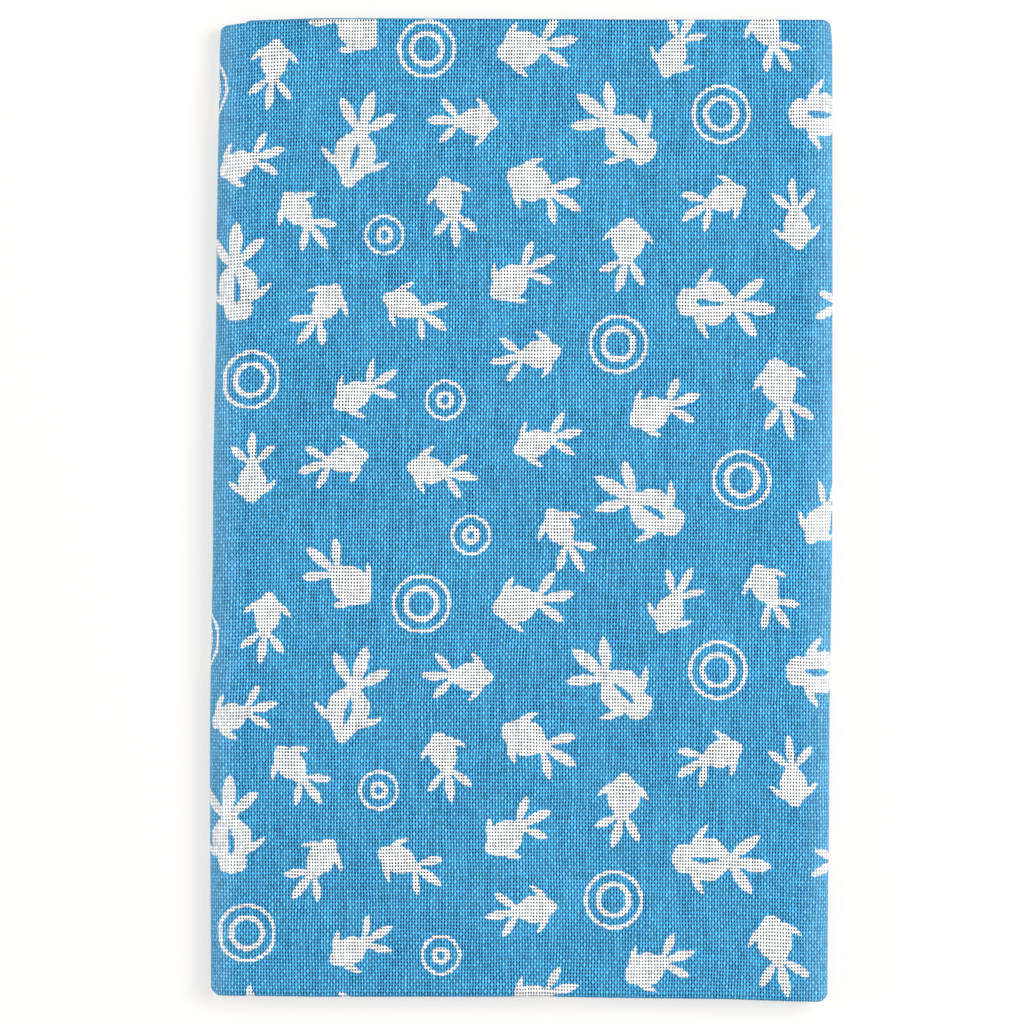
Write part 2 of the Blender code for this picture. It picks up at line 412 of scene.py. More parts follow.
def between_rows(table, place, column):
    """One column of a drift table, eased from row to row."""
    stations = table[:, 0]
    values = table[:, column]
    place = np.clip(place, stations[0], stations[-1])
    row = np.clip(np.searchsorted(stations, place, side="right") - 1, 0, len(stations) - 2)
    share = eased((place - stations[row]) / (stations[row + 1] - stations[row]))
    return values[row] + (values[row + 1] - values[row]) * share


def ply(level, start, heights, end, printed):
    """A flat ply as its length, its rows, and where it lies. Printed is +1 where its printed side is up."""
    way = math.copysign(1.0, end - start)

    def place(run):
        flat = np.zeros_like(run)
        return start + way * run, flat + level * PLY_PITCH, flat, flat + printed

    return abs(end - start), [abs(height - start) for height in (start, *heights, end)], place


def turn(height, level, radius, start, end, steps, print_outside=True):
    """A turn between two plies as its length, its rows, and where it lies. Its angles are in degrees."""
    side = 1.0 if print_outside else -1.0
    way = math.copysign(1.0, end - start)
    length = math.radians(abs(end - start)) * radius

    def place(run):
        angle = math.radians(start) + way * run / radius
        along = np.cos(angle)
        out = np.sin(angle)
        return height + radius * along, level * PLY_PITCH + radius * out, side * along, side * out

    return length, evenly(0.0, length, steps), place


def make_strip():
    """The cloth's plies and turns from its upper cut end to its lower one."""
    whole_plies = 2 * (TOP_TURN_AT - BOTTOM_TURN_AT) + (TOP_TURN_AT - INNER_TURN_AT)
    turns = math.pi * (WIDE_TURN_RADIUS + 3 * CLOSE_TURN_RADIUS)
    left_over = CLOTH_LENGTH - whole_plies - turns
    upper_end = INNER_TURN_AT + left_over * UPPER_END_SHARE
    lower_end = TOP_TURN_AT - left_over * (1 - UPPER_END_SHARE)

    up = closer_at_rim(BOTTOM_TURN_AT, TOP_TURN_AT)[1:-1]
    down = up[::-1]
    return (
        ply(0, upper_end, down, INNER_TURN_AT, 1.0),
        turn(INNER_TURN_AT, 0.5, CLOSE_TURN_RADIUS, -90, -270, CLOSE_TURN_ROWS, print_outside=False),
        ply(1, INNER_TURN_AT, up, TOP_TURN_AT, -1.0),
        turn(TOP_TURN_AT, 1.5, CLOSE_TURN_RADIUS, -90, 90, CLOSE_TURN_ROWS),
        ply(2, TOP_TURN_AT, down, BOTTOM_TURN_AT, 1.0),
        turn(BOTTOM_TURN_AT, 0, WIDE_TURN_RADIUS, 90, 270, WIDE_TURN_ROWS),
        ply(-2, BOTTOM_TURN_AT, up, TOP_TURN_AT, -1.0),
        turn(TOP_TURN_AT, -1.5, CLOSE_TURN_RADIUS, -90, 90, CLOSE_TURN_ROWS),
        ply(-1, TOP_TURN_AT, down, lower_end, 1.0),
    )


def strip_length(stretches):
    return sum(length for length, rows, place in stretches)


STRIP = make_strip()
FRONT_PLY = 4
FRONT_PLY_FROM = strip_length(STRIP[:FRONT_PLY])
FRONT_MAP_ALONG = (strip_length(STRIP[:FRONT_PLY - 1]), strip_length(STRIP[:FRONT_PLY + 2]))


def along_strip(along):
    """Height, level and the printed side's direction, at distances along the cloth from its upper cut end."""
    found = np.zeros((4, len(along)))
    begin = 0.0
    for length, rows, place in STRIP:
        here = along >= begin
        found[:, here] = place(along[here] - begin)
        begin += length
    return found


def strip_rows():
    """Distances along the cloth at which the mesh has a row."""
    rows = [0.0]
    begin = 0.0
    for length, stretch_rows, place in STRIP:
        rows += [begin + run for run in stretch_rows[1:]]
        begin += length
    return np.array(rows)


def cloth_place(place, level):
    """Where the cloth at a level of the strip has the column that the strip's middle has at a place."""
    left_angle = np.clip((LEFT_BEND_AT - place) / LEFT_BEND_RADIUS, 0.0, math.pi)
    right_angle = np.clip((place - RIGHT_BEND_AT) / RIGHT_BEND_RADIUS, 0.0, math.pi)
    return place - level * left_angle + level * right_angle


def strip_columns(level):
    """Places across the flat cloth at which a row at a level of the strip has its points."""
    inner = closer_at_rim(LEFT_SELVAGE + FREE_EDGE_MARGIN, LEFT_BEND_END)
    inner += evenly(LEFT_BEND_END, LEFT_BEND_AT, BEND_COLUMNS)[1:]
    inner += closer_at_rim(LEFT_BEND_AT, RIGHT_BEND_AT)[1:]
    inner += evenly(RIGHT_BEND_AT, RIGHT_BEND_END, BEND_COLUMNS)[1:]
    inner += closer_at_rim(RIGHT_BEND_END, RIGHT_SELVAGE - FREE_EDGE_MARGIN)[1:]
    return [LEFT_SELVAGE, *cloth_place(np.array(inner), level), RIGHT_SELVAGE]


def folded(places, offset):
    """Points of the neat bundle for places on the flat cloth, at an offset toward its printed side."""
    across = places[:, 0]
    height, level, out_height, out_level = along_strip(places[:, 1])
    skin_height = height + offset * out_height
    skin_level = level + offset * out_level

    left_past = np.maximum(LEFT_BEND_AT - across, 0.0)
    right_past = np.maximum(across - RIGHT_BEND_AT, 0.0)
    left_angle = np.minimum(left_past / (LEFT_BEND_RADIUS + level), math.pi)
    right_angle = np.minimum(right_past / (RIGHT_BEND_RADIUS + level), math.pi)
    left_wing = left_past - left_angle * (LEFT_BEND_RADIUS + level)
    right_wing = right_past - right_angle * (RIGHT_BEND_RADIUS + level)
    left_reach = LEFT_BEND_RADIUS + skin_level
    right_reach = RIGHT_BEND_RADIUS + skin_level

    bundle_across = np.clip(across, LEFT_BEND_AT, RIGHT_BEND_AT)
    bundle_across += left_wing - left_reach * np.sin(left_angle)
    bundle_across -= right_wing - right_reach * np.sin(right_angle)
    bundle_height = skin_height + left_wing * math.tan(LEFT_WING_SKEW)
    bundle_height += right_wing * math.tan(RIGHT_WING_SKEW)
    bundle_level = FACE_LEVEL + skin_level
    bundle_level += left_reach * (np.cos(left_angle) - 1) + right_reach * (np.cos(right_angle) - 1)
    return bundle_across, bundle_height, bundle_level


def rounded_corners(across, height):
    """Each corner of the bundle drawn in to its radius, seen from above."""
    across = across.copy()
    height = height.copy()
    for (side, end), radius in CORNER_RADIUS.items():
        inner_across = BUNDLE_WIDTH / 2 - radius
        inner_height = BUNDLE_LENGTH / 2 - radius
        past_side = (across * side - inner_across) / radius
        past_end = (height * end - inner_height) / radius
        here = (past_side > 0) & (past_end > 0)
        side_share = past_side[here]
        end_share = past_end[here]
        drawn_side = side_share * np.sqrt(np.maximum(1 - end_share ** 2 / 2, 0.0))
        drawn_end = end_share * np.sqrt(np.maximum(1 - side_share ** 2 / 2, 0.0))
        across[here] = side * (inner_across + radius * drawn_side)
        height[here] = end * (inner_height + radius * drawn_end)
    return across, height


def thickness_share(across, height):
    """The bundle's thickness at a place, as a share of its full height."""
    to_rim = np.minimum(BUNDLE_WIDTH / 2 - np.abs(across), BUNDLE_LENGTH / 2 - np.abs(height))
    to_corner = np.hypot(across + BUNDLE_WIDTH / 2, height - BUNDLE_LENGTH / 2)
    swell_across = np.sin(2 * math.pi * across / SWELL_LENGTH_ACROSS + SWELL_START_ACROSS)
    swell_along = np.cos(2 * math.pi * height / SWELL_LENGTH_ALONG + SWELL_START_ALONG)
    share = 1 - RIM_THINNING * (1 - eased(to_rim / RIM_THINNING_REACH))
    share -= CORNER_THINNING * (1 - eased(to_corner / CORNER_THINNING_REACH))
    return share + SWELL * swell_across * swell_along


def settled(across, height, level):
    """Points of the neat bundle, moved to where the real, uneven one lies. The underside stays flat."""
    level = level * thickness_share(across, height)
    across, height = rounded_corners(across, height)
    rightness = across / BUNDLE_WIDTH + 0.5
    upness = height / BUNDLE_LENGTH + 0.5
    left = between_rows(SIDE_DRIFT, height, 1)
    right = between_rows(SIDE_DRIFT, height, 2)
    bottom = between_rows(END_DRIFT, across, 1)
    top = between_rows(END_DRIFT, across, 2)
    across = across + left + (right - left) * rightness
    height = height + bottom + (top - bottom) * upness
    return np.column_stack((across, height, level))


def leaf(along, beside, heading, length, width, curl, fullest):
    """Outline of a leaf from its root, narrow at both ends."""
    share = np.linspace(0.0, 1.0, LEAF_POINTS)
    half_width = width / 2 * np.sin(math.pi * share ** (math.log(0.5) / math.log(fullest))) ** LEAF_BLUNTNESS
    direction = np.radians(heading + curl * share)
    step = length / (LEAF_POINTS - 1)
    spine_along = along + np.concatenate(([0.0], np.cumsum(np.cos(direction[1:])) * step))
    spine_beside = beside + np.concatenate(([0.0], np.cumsum(np.sin(direction[1:])) * step))
    left = np.column_stack((spine_along - half_width * np.sin(direction),
                            spine_beside + half_width * np.cos(direction)))
    right = np.column_stack((spine_along + half_width * np.sin(direction),
                             spine_beside - half_width * np.cos(direction)))
    return np.concatenate((left, right[-2:0:-1]))


def smoothed(points, steps=3):
    """A closed outline drawn through its points as a Catmull-Rom curve."""
    before = np.roll(points, 1, axis=0)
    after = np.roll(points, -1, axis=0)
    beyond = np.roll(points, -2, axis=0)
    drawn = []
    for share in np.arange(steps) / steps:
        drawn.append(0.5 * (
            2 * points
            + (after - before) * share
            + (2 * before - 5 * points + 4 * after - beyond) * share ** 2
            + (3 * points - before - 3 * after + beyond) * share ** 3
        ))
    return np.stack(drawn, axis=1).reshape(-1, 2)


def body_outline(profile):
    """A fish's body, from its half widths along its length."""
    profile = np.array(profile)
    left = profile
    right = profile[-2:0:-1] * (1, -1)
    return smoothed(np.concatenate((left, right)))


def circle(radius):
    angle = np.arange(CIRCLE_POINTS) * 2 * math.pi / CIRCLE_POINTS
    return radius * np.column_stack((np.cos(angle), np.sin(angle)))


def fish_outlines(kind):
    """A fish's outlines about the middle of its body, each with +1 where it adds and -1 where it cuts."""
    body, leaves, slits, scale = FISHES[kind]
    outlines = [(1, body_outline(body))]
    outlines += [(1, leaf(*each)) for each in leaves]
    outlines += [(-1, leaf(*each)) for each in slits]
    return [(sign, outline * scale) for sign, outline in outlines]


def ring_outlines(kind):
    outlines = []
    for radius, line in RINGS[kind]:
        outlines.append((1, circle(radius + line / 2)))
        outlines.append((-1, circle(radius - line / 2)))
    return outlines


def swung(outline, swing):
    """A fish's outline with its tail turned anticlockwise, by an angle at a reach behind its middle."""
    if swing == 0:
        return outline
    bend = -math.radians(swing) / SWING_REACH
    behind = np.maximum(-outline[:, 0], 0.0)
    angle = bend * behind
    along = np.where(behind > 0, -np.sin(angle) / bend, outline[:, 0])
    beside = (1 - np.cos(angle)) / bend
    along = along + outline[:, 1] * np.sin(angle)
    beside = beside + outline[:, 1] * np.cos(angle)
    return np.column_stack((along, beside))


def placed(outline, across, height, heading):
    angle = math.radians(heading)
    along, beside = outline.T
    return np.column_stack((
        across + along * math.cos(angle) - beside * math.sin(angle),
        height + along * math.sin(angle) + beside * math.cos(angle),
    ))


def print_motifs():
    """Every motif of the print as its outlines, by place across and height up the front ply."""
    lowest = -BUNDLE_LENGTH / 2 - PRINT_PAST_BOTTOM
    highest = BUNDLE_LENGTH / 2 + PRINT_PAST_TOP
    leftmost = LEFT_SELVAGE + PLAIN_SELVAGE
    rightmost = RIGHT_BEND_AT + PRINT_PAST_RIGHT
    motifs = []
    for kind, across, height, heading, swing in MOTIFS:
        outlines = ring_outlines(kind) if kind in RINGS else fish_outlines(kind)
        for copy_across in (-1, 0, 1):
            for copy_along in (-2, -1, 0, 1):
                at_across = across + copy_across * REPEAT_ACROSS
                at_height = height + copy_along * REPEAT_ALONG
                if leftmost < at_across < rightmost and lowest < at_height < highest:
                    motifs.append([
                        (sign, placed(swung(outline, swing), at_across, at_height, heading))
                        for sign, outline in outlines
                    ])
    return motifs


def offset_outline(outline, offset):
    """A closed outline moved out by an offset, or in by a negative one."""
    before = outline - np.roll(outline, 1, axis=0)
    after = np.roll(outline, -1, axis=0) - outline
    before /= np.linalg.norm(before, axis=1)[:, None]
    after /= np.linalg.norm(after, axis=1)[:, None]
    tangent = before + after
    tangent /= np.maximum(np.linalg.norm(tangent, axis=1), 1e-9)[:, None]
    outward = np.column_stack((tangent[:, 1], -tangent[:, 0]))
    area = np.sum(outline[:, 0] * np.roll(outline[:, 1], -1) - outline[:, 1] * np.roll(outline[:, 0], -1))
    return outline + math.copysign(offset, area * offset) * outward


def depth_inside(points, outline):
    """How far points lie inside a closed outline, negative outside it, and which way that depth grows."""
    side = np.roll(outline, -1, axis=0) - outline
    apart = points[:, None, :] - outline[None, :, :]
    share = np.clip(np.sum(apart * side, axis=2) / np.sum(side * side, axis=1), 0.0, 1.0)
    away = apart - share[:, :, None] * side[None, :, :]
    distances = np.linalg.norm(away, axis=2)
    nearest = distances.argmin(axis=1)
    everyone = np.arange(len(points))
    distance = distances[everyone, nearest]
    slope = away[everyone, nearest] / np.maximum(distance, 1e-9)[:, None]

    point_height = points[:, 1][:, None]
    start_above = outline[:, 1] > point_height
    end_above = np.roll(outline[:, 1], -1) > point_height
    rise = np.where(side[:, 1] == 0, 1.0, side[:, 1])
    crossing = outline[:, 0] + (point_height - outline[:, 1]) * side[:, 0] / rise
    crosses = (start_above != end_above) & (points[:, 0][:, None] < crossing)
    sign = np.where(crosses.sum(axis=1) % 2 == 1, 1.0, -1.0)
    return distance * sign, slope * sign[:, None]


def print_depth(points, motifs):
    """How deep points of the front ply lie inside the print's white motifs, and which way that grows."""
    depth = np.full(len(points), -2 * PRINT_REACH)
    slope = np.zeros((len(points), 2))
    for motif in motifs:
        corners = np.concatenate([outline for sign, outline in motif])
        low = corners.min(axis=0) - 2 * PRINT_REACH
        high = corners.max(axis=0) + 2 * PRINT_REACH
        here = np.flatnonzero(np.all((points > low) & (points < high), axis=1))
        if not len(here):
            continue
        motif_depth = np.full(len(here), -2 * PRINT_REACH)
        motif_slope = np.zeros((len(here), 2))
        for sign, outline in motif:
            outline_depth, outline_slope = depth_inside(points[here], outline)
            if sign > 0:
                taken = outline_depth > motif_depth
            else:
                taken = -outline_depth < motif_depth
            motif_depth[taken] = sign * outline_depth[taken]
            motif_slope[taken] = sign * outline_slope[taken]
        taken = motif_depth > depth[here]
        depth[here[taken]] = motif_depth[taken]
        slope[here[taken]] = motif_slope[taken]
    return depth, slope


def to_cloth(points):
    """Places on the flat cloth of points given by place across and height up the front ply."""
    return np.column_stack((points[:, 0], FRONT_PLY_FROM + TOP_TURN_AT - points[:, 1]))


def from_cloth(places):
    return np.column_stack((places[:, 0], FRONT_PLY_FROM + TOP_TURN_AT - places[:, 1]))


def cut_mesh(grid, motifs):
    """The flat cloth's places and triangles, with the grid's lines and the print's outlines cut in.

    It also returns, for each point of the grid, the number of the place that it became.
    """
    rows, columns = grid.shape[:2]
    places = [grid.reshape(-1, 2)]
    edges = [(row * columns + column, row * columns + column + 1)
             for row in range(rows) for column in range(columns - 1)]
    edges += [(row * columns + column, (row + 1) * columns + column)
              for row in range(rows - 1) for column in range(columns)]
    count = rows * columns
    for motif in motifs:
        for sign, outline in motif:
            for offset in (-PRINT_REACH, PRINT_REACH):
                loop = to_cloth(offset_outline(outline, offset))
                places.append(loop)
                edges += [(count + step, count + (step + 1) % len(loop)) for step in range(len(loop))]
                count += len(loop)
    flat = [tuple(place) for place in np.concatenate(places)]
    cut = delaunay_2d_cdt(flat, edges, [], 0, POINTS_MERGE_WITHIN)
    numbers = np.zeros(rows * columns, int)
    for number, sources in enumerate(cut[3]):
        for source in sources:
            if source < rows * columns:
                numbers[source] = number
    return np.array(cut[0]), np.array(cut[2]), numbers.reshape(rows, columns)


def rim_pairs(rows, columns):
    """Neighbouring points of the grid along the cloth's four edges, in the order that faces its rim out."""
    last_row = rows - 1
    last_column = columns - 1
    pairs = [((row + 1, 0), (row, 0)) for row in range(last_row)]
    pairs += [((row, last_column), (row + 1, last_column)) for row in range(last_row)]
    pairs += [((0, column), (0, column + 1)) for column in range(last_column)]
    pairs += [((last_row, column + 1), (last_row, column)) for column in range(last_column)]
    return pairs


def on_map(value, span, pixels):
    """Where values between two ends lie on the map, between two numbers of pixels."""
    return pixels[0] + (value - span[0]) / (span[1] - span[0]) * (pixels[1] - pixels[0])


def lay_out_map(mesh, places, skin, printed_faces, reverse_faces, rims):
    """The sheet's map: its front ply large, and each other part in a strip of its own.

    Skin is 0 at a point of the printed side and 1 at one of the reverse. Rims gives the numbers of faces
    of the two selvages and then of the two cut ends, which come last in the mesh.
    """
    corners = np.zeros(len(mesh.loops), np.int32)
    mesh.loops.foreach_get("vertex_index", corners)
    starts = np.zeros(len(mesh.polygons), np.int32)
    mesh.polygons.foreach_get("loop_start", starts)
    face = np.searchsorted(starts, np.arange(len(corners)), side="right") - 1
    across, along = places[corners].T
    past_start = np.minimum.reduceat(along, starts)[face] > FRONT_MAP_ALONG[0] - MAP_TOLERANCE
    before_end = np.maximum.reduceat(along, starts)[face] < FRONT_MAP_ALONG[1] + MAP_TOLERANCE

    whole_length = (0.0, CLOTH_LENGTH)
    whole_width = (LEFT_SELVAGE, RIGHT_SELVAGE)
    whole_map = (MAP_LEFT, MAP_RIGHT)
    right = on_map(along, whole_length, whole_map)
    up = on_map(across, whole_width, PRINTED_MAP_HEIGHTS)
    front = (face < printed_faces) & past_start & before_end
    right[front] = np.interp(across[front], *FRONT_MAP_ACROSS.T)
    up[front] = on_map(along[front], FRONT_MAP_ALONG, FRONT_MAP_HEIGHTS[::-1])
    reverse = (face >= printed_faces) & (face < printed_faces + reverse_faces)
    up[reverse] = on_map(across[reverse], whole_width, REVERSE_MAP_HEIGHTS)

    begin = printed_faces + reverse_faces
    for number, (count, heights) in enumerate(zip(rims, RIM_MAP_HEIGHTS)):
        here = (face >= begin) & (face < begin + count)
        is_cut_end = number >= 2
        if is_cut_end:
            right[here] = on_map(across[here], whole_width, whole_map)
        up[here] = on_map(skin[corners[here]], (0, 1), heights)
        begin += count
    layer = mesh.uv_layers.new(name=MAP_NAME)
    layer.data.foreach_set("uv", (np.column_stack((right, up)) / MAP_SIZE).astype(np.float32).ravel())


def keep_at_points(mesh, name, vectors):
    """A vector at each point of the mesh, for the material to read."""
    mesh.attributes.new(name, "FLOAT_VECTOR", "POINT").data.foreach_set("vector", vectors.ravel())


def make_sheet():
    """The cloth as one closed mesh, with each point's place on the flat cloth.

    It carries the print as a field: how deep a point lies inside a white motif, and which way that grows.
    """
    rows = strip_rows()
    levels = along_strip(rows)[1]
    grid = np.array([[(place, row) for place in strip_columns(level)] for row, level in zip(rows, levels)])
    motifs = print_motifs()
    printed_places, triangles, numbers = cut_mesh(grid, motifs)
    reverse_places = grid.reshape(-1, 2)

    printed = settled(*folded(printed_places, HALF_THICKNESS))
    reverse = settled(*folded(reverse_places, -HALF_THICKNESS))
    points = np.concatenate((printed, reverse))
    points -= (points.max(axis=0) + points.min(axis=0)) / 2
    low, high = (np.array(corner) / MM for corner in CAD_BOX)
    points += (low + high) / 2

    faces = [tuple(triangle) for triangle in triangles[:, ::-1].tolist()]
    row_count, column_count = numbers.shape
    on_reverse = len(printed) + np.arange(row_count * column_count).reshape(row_count, column_count)
    for row in range(row_count - 1):
        for column in range(column_count - 1):
            corners = ((row, column + 1), (row + 1, column + 1), (row + 1, column), (row, column))
            faces.append(tuple(int(on_reverse[corner]) for corner in corners))
    for start, end in rim_pairs(row_count, column_count):
        faces.append(tuple(int(number) for number in
                           (numbers[start], numbers[end], on_reverse[end], on_reverse[start])))

    mesh = bpy.data.meshes.new("cotton_towel")
    mesh.from_pydata((points * MM).tolist(), [], faces)
    mesh.shade_smooth()
    mesh.set_sharp_from_angle(angle=SHARP_ANGLE)

    depth, slope = print_depth(from_cloth(printed_places), motifs)
    print_field = np.full((len(points), 3), -2 * PRINT_REACH, np.float32)
    print_field[:len(printed)] = np.column_stack((depth, slope[:, 0], -slope[:, 1]))
    keep_at_points(mesh, "print_field", print_field)
    skin = np.concatenate((np.zeros(len(printed)), np.ones(len(reverse))))
    places = np.concatenate((printed_places, reverse_places))
    place = np.column_stack((places, skin)).astype(np.float32)
    keep_at_points(mesh, "cloth_place", place)
    rims = (row_count - 1, row_count - 1, column_count - 1, column_count - 1)
    lay_out_map(mesh, places, skin, len(triangles), (row_count - 1) * (column_count - 1), rims)
    return mesh


class Formula:
    """A number or a colour worked out in a material's nodes, so that formulas read as arithmetic."""

    def __init__(self, tree, socket):
        self.tree = tree
        self.socket = socket

    def node(self, kind, **settings):
        made = self.tree.nodes.new(kind)
        for name, value in settings.items():
            setattr(made, name, value)
        return made

    def feed(self, socket, value):
        if isinstance(value, Formula):
            self.tree.links.new(value.socket, socket)
        else:
            socket.default_value = value

    def math(self, operation, *others):
        made = self.node("ShaderNodeMath", operation=operation)
        for socket, value in zip(made.inputs, (self, *others)):
            self.feed(socket, value)
        return Formula(self.tree, made.outputs[0])

    def __add__(self, other):
        return self.math("ADD", other)

    def __sub__(self, other):
        return self.math("SUBTRACT", other)

    def __mul__(self, other):
        return self.math("MULTIPLY", other)

    def __truediv__(self, other):
        return self.math("DIVIDE", other)

    def at_least(self, other):
        return self.math("MAXIMUM", other)

    def between(self, low, high):
        """Zero below one value, one above another, and eased between them."""
        made = self.node("ShaderNodeMapRange", interpolation_type="SMOOTHSTEP", clamp=True)
        self.feed(made.inputs["Value"], self)
        made.inputs["From Min"].default_value = low
        made.inputs["From Max"].default_value = high
        return Formula(self.tree, made.outputs["Result"])

    def towards(self, other, share):
        """This colour mixed with another by a share."""
        made = self.node("ShaderNodeMix", data_type="RGBA")
        self.feed(made.inputs["Factor"], share)
        self.feed(made.inputs["A"], self)
        self.feed(made.inputs["B"], other)
        return Formula(self.tree, made.outputs["Result"])


def attribute(tree, name, output):
    made = tree.nodes.new("ShaderNodeAttribute")
    made.attribute_name = name
    return Formula(tree, made.outputs[output])


def parts(vector):
    made = vector.node("ShaderNodeSeparateXYZ")
    vector.feed(made.inputs[0], vector)
    return [Formula(vector.tree, socket) for socket in made.outputs]


def joined(x, y, z):
    made = x.node("ShaderNodeCombineXYZ")
    for socket, value in zip(made.inputs, (x, y, z)):
        x.feed(socket, value)
    return Formula(x.tree, made.outputs[0])


def noise(x, y, layer, detail=2.0):
    """Smooth noise from zero to one at a place, with features about one unit long. Layers differ."""
    made = x.node("ShaderNodeTexNoise")
    x.feed(made.inputs["Vector"], joined(x, y, layer))
    made.inputs["Scale"].default_value = 1.0
    made.inputs["Detail"].default_value = detail
    return Formula(x.tree, made.outputs[0])


def colour(tree, red, green, blue):
    """A plain colour given as it looks on a screen, from 0 to 255."""
    made = tree.nodes.new("ShaderNodeRGB")
    made.outputs[0].default_value = (*(on_screen(part) for part in (red, green, blue)), 1.0)
    return Formula(tree, made.outputs[0])


def on_screen(part):
    """The strength of light that a screen shows as a number from 0 to 255."""
    part /= 255
    return part / 12.92 if part <= 0.04045 else ((part + 0.055) / 1.055) ** 2.4


def rounded(beside, half_width):
    """The round section of a thread: one at its middle, zero at its side and past it."""
    return (((beside / half_width).math("POWER", 2.0) * -1.0) + 1.0).at_least(0.0).math("SQRT")


def thread_height(rise, section, there):
    return (rise * THREAD_RISE + section * THREAD_ROUND + THREAD_BASE) * there


def weave(across, along):
    """A plain weave: the threads at a place on the flat cloth, their heights and the gaps between them."""
    # The threads wander a little from a straight grid
    wander_across = (noise(across / WANDER_BESIDE_THREAD, along / WANDER_ALONG_THREAD, 1.7) - 0.5) * WANDER
    wander_along = (noise(across / WANDER_ALONG_THREAD, along / WANDER_BESIDE_THREAD, 4.1) - 0.5) * WANDER
    warp_run = (across + wander_across) / WARP_PITCH
    weft_run = (along + wander_along) / WEFT_PITCH
    warp_number = warp_run.math("FLOOR")
    weft_number = weft_run.math("FLOOR")
    beside_warp = (warp_run.math("FRACT") - 0.5).math("ABSOLUTE") * 2.0
    beside_weft = (weft_run.math("FRACT") - 0.5).math("ABSOLUTE") * 2.0

    # Slubs: each thread has its own thickness, which changes slowly along it
    warp_slub = noise(warp_number * SLUB_THREAD_STEP, along / SLUB_LENGTH, 2.3, 1.0) - 0.5
    weft_slub = noise(across / SLUB_LENGTH, weft_number * SLUB_THREAD_STEP, 6.9, 1.0) - 0.5
    warp_half = warp_slub * WARP_SLUB + WARP_WIDTH
    weft_half = weft_slub * WEFT_SLUB + WEFT_WIDTH

    # Each thread rises over every second one that it crosses
    warp_odd = warp_number.math("FLOORED_MODULO", 2.0) * -2.0 + 1.0
    weft_odd = weft_number.math("FLOORED_MODULO", 2.0) * -2.0 + 1.0
    warp_rise = (weft_run * math.pi).math("SINE") * warp_odd
    weft_rise = (warp_run * math.pi).math("SINE") * weft_odd * -1.0
    warp_round = rounded(beside_warp, warp_half)
    weft_round = rounded(beside_weft, weft_half)
    warp_there = (warp_half - beside_warp).between(*THREAD_EDGE)
    weft_there = (weft_half - beside_weft).between(*THREAD_EDGE)
    warp_height = thread_height(warp_rise, warp_round, warp_there)
    weft_height = thread_height(weft_rise, weft_round, weft_there)
    warp_on_top = (warp_height - weft_height).between(*THREAD_CROSSING)
    return SimpleNamespace(
        warp_run=warp_run,
        weft_run=weft_run,
        warp_number=warp_number,
        weft_number=weft_number,
        height=warp_height.at_least(weft_height).at_least(0.0),
        # Painted highlight along the crown of each warp where it lies on top
        ridge_highlight=warp_round.math("POWER", RIDGE_HIGHLIGHT_SHARPNESS) * (warp_rise * 0.35 + 0.65) * warp_on_top,
        open_share=(warp_there.at_least(weft_there) * -1.0) + 1.0,
        shade=(warp_slub + weft_slub) * 0.5,
    )


def fold_highlight(across):
    """Where the side folds get a painted highlight that pales them, from zero to one."""
    from_middle = across.math("ABSOLUTE")
    inner_side = from_middle.between(FOLD_HIGHLIGHT_FROM, FOLD_HIGHLIGHT_FULL)
    outer_side = from_middle.between(FOLD_HIGHLIGHT_PAST, FOLD_HIGHLIGHT_END)
    return inner_side * (outer_side * -1.0 + 1.0)


def crossing_chance(tree, threads):
    """A random number for each crossing of two threads, from -0.5 to 0.5."""
    cell = tree.nodes.new("ShaderNodeTexWhiteNoise")
    cell.noise_dimensions = "2D"
    tree.links.new(joined(threads.warp_number, threads.weft_number, 0.0).socket, cell.inputs["Vector"])
    return Formula(tree, cell.outputs["Value"]) - 0.5


def print_whiteness(tree, threads, chance):
    """One in the white print and zero in the blue. The print's edge is stepped by the threads."""
    depth, slope_across, slope_along = parts(attribute(tree, "print_field", "Vector"))
    to_middle_across = (threads.warp_run.math("FRACT") * -1.0 + 0.5) * WARP_PITCH
    to_middle_along = (threads.weft_run.math("FRACT") * -1.0 + 0.5) * WEFT_PITCH
    step = slope_across * to_middle_across + slope_along * to_middle_along
    return (depth + step * PRINT_STEP + chance * PRINT_CHANCE).between(*PRINT_EDGE)


def dyed(tree, threads, fold_highlight_share, white):
    """The colour of the threads and of the gaps between them, with painted shade in the gaps and on the
    threads' low parts, and painted highlights on the warp crowns and along the side folds.
    """
    blue_ridge_highlight = colour(tree, 148, 224, 254)
    blue_thread = colour(tree, 62, 162, 216)
    blue_shaded_low = colour(tree, 0, 110, 168)
    fold_highlight_blue = colour(tree, 168, 214, 238)
    white_thread = colour(tree, 252, 253, 254)
    white_shaded_low = colour(tree, 214, 218, 224)
    # Painted shade: the gaps show the ply beneath as if in shade
    blue_gap_shade = colour(tree, 0, 34, 78)
    white_gap_shade = colour(tree, 16, 20, 34)

    # Painted shade: threads are darker where they lie low and lighter where they lie high
    raised_lit_share = threads.height.between(*THREAD_SHADE_TO_LIT)
    # Painted highlight along the warp crowns
    blue = blue_shaded_low.towards(blue_thread, raised_lit_share).towards(blue_ridge_highlight, threads.ridge_highlight * RIDGE_HIGHLIGHT_SHARE)
    # Painted highlight: the blue is paled along the side folds, standing in for light on their curve
    blue = blue.towards(fold_highlight_blue, fold_highlight_share * FOLD_HIGHLIGHT_PALENESS)
    cotton = white_shaded_low.towards(white_thread, raised_lit_share)
    # Along the side folds the gaps are drawn smaller, as if the threads were pressed closer together, which
    # lightens the folds further as painted highlight
    open_share = threads.open_share * (fold_highlight_share * -FOLD_HIGHLIGHT_GAP_CLOSING + 1.0)
    # Painted shade in the gaps between the threads
    return blue.towards(cotton, white).towards(blue_gap_shade.towards(white_gap_shade, white), open_share)


